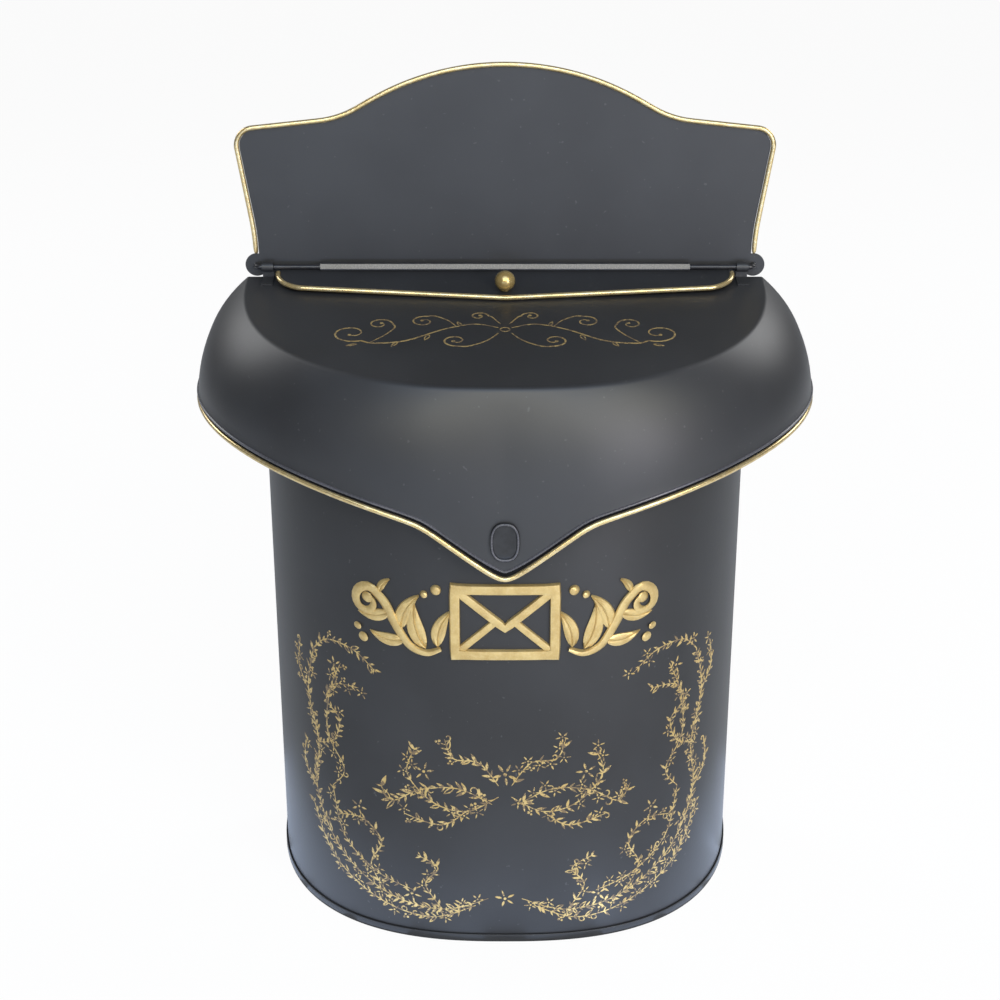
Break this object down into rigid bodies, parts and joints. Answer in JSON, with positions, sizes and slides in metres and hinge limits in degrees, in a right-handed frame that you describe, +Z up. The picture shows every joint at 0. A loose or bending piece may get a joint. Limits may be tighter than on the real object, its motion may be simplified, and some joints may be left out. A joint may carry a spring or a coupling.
{
  "type": "wall mailbox",
  "caption": "Wall mailbox of black sheet steel: D-shaped tub, back plate with shaped crest, flared bonnet lid with a letter slot, and a hinged letter flap with a ball knob.",
  "frame": {"origin": "middle of the rectangle of wall screw holes, on the rear face of the back plate", "axes": "+X to the right seen from the front, +Y into the wall, +Z up"},
  "size_m": [0.2984, 0.1392, 0.3987],
  "materials": {
    "black_paint": "satin",
    "gold_paint": "satin",
    "dark_wire": "satin"
  },
  "bodies": {
    "box_body": {"back_plate": "black_paint", "crest_edge_wire": "gold_paint", "tub_wall": "black_paint", "bottom_plate": "black_paint", "hinge_wire": "dark_wire"},
    "lid_body": {"lid": "black_paint", "lid_edge_wire": "gold_paint", "lid_lug_left": "black_paint", "lid_lug_right": "black_paint", "finger_plate": "black_paint"},
    "flap_body": {"flap": "black_paint", "flap_edge_wire": "gold_paint", "knob": "gold_paint", "knob_screw": "dark_wire"}
  },
  "joints": [
    {"name": "lid_hinge", "type": "hinge", "parent": "box_body", "child": "lid_body", "pos_m": [0, -0.005, 0.1575], "axis": [-1, 0, 0], "range_deg": [0, 50]},
    {"name": "flap_hinge", "type": "hinge", "parent": "lid_body", "child": "flap_body", "pos_m": [0, -0.005, 0.1575], "axis": [-1, 0, 0], "range_deg": [0, 38]}
  ]
}
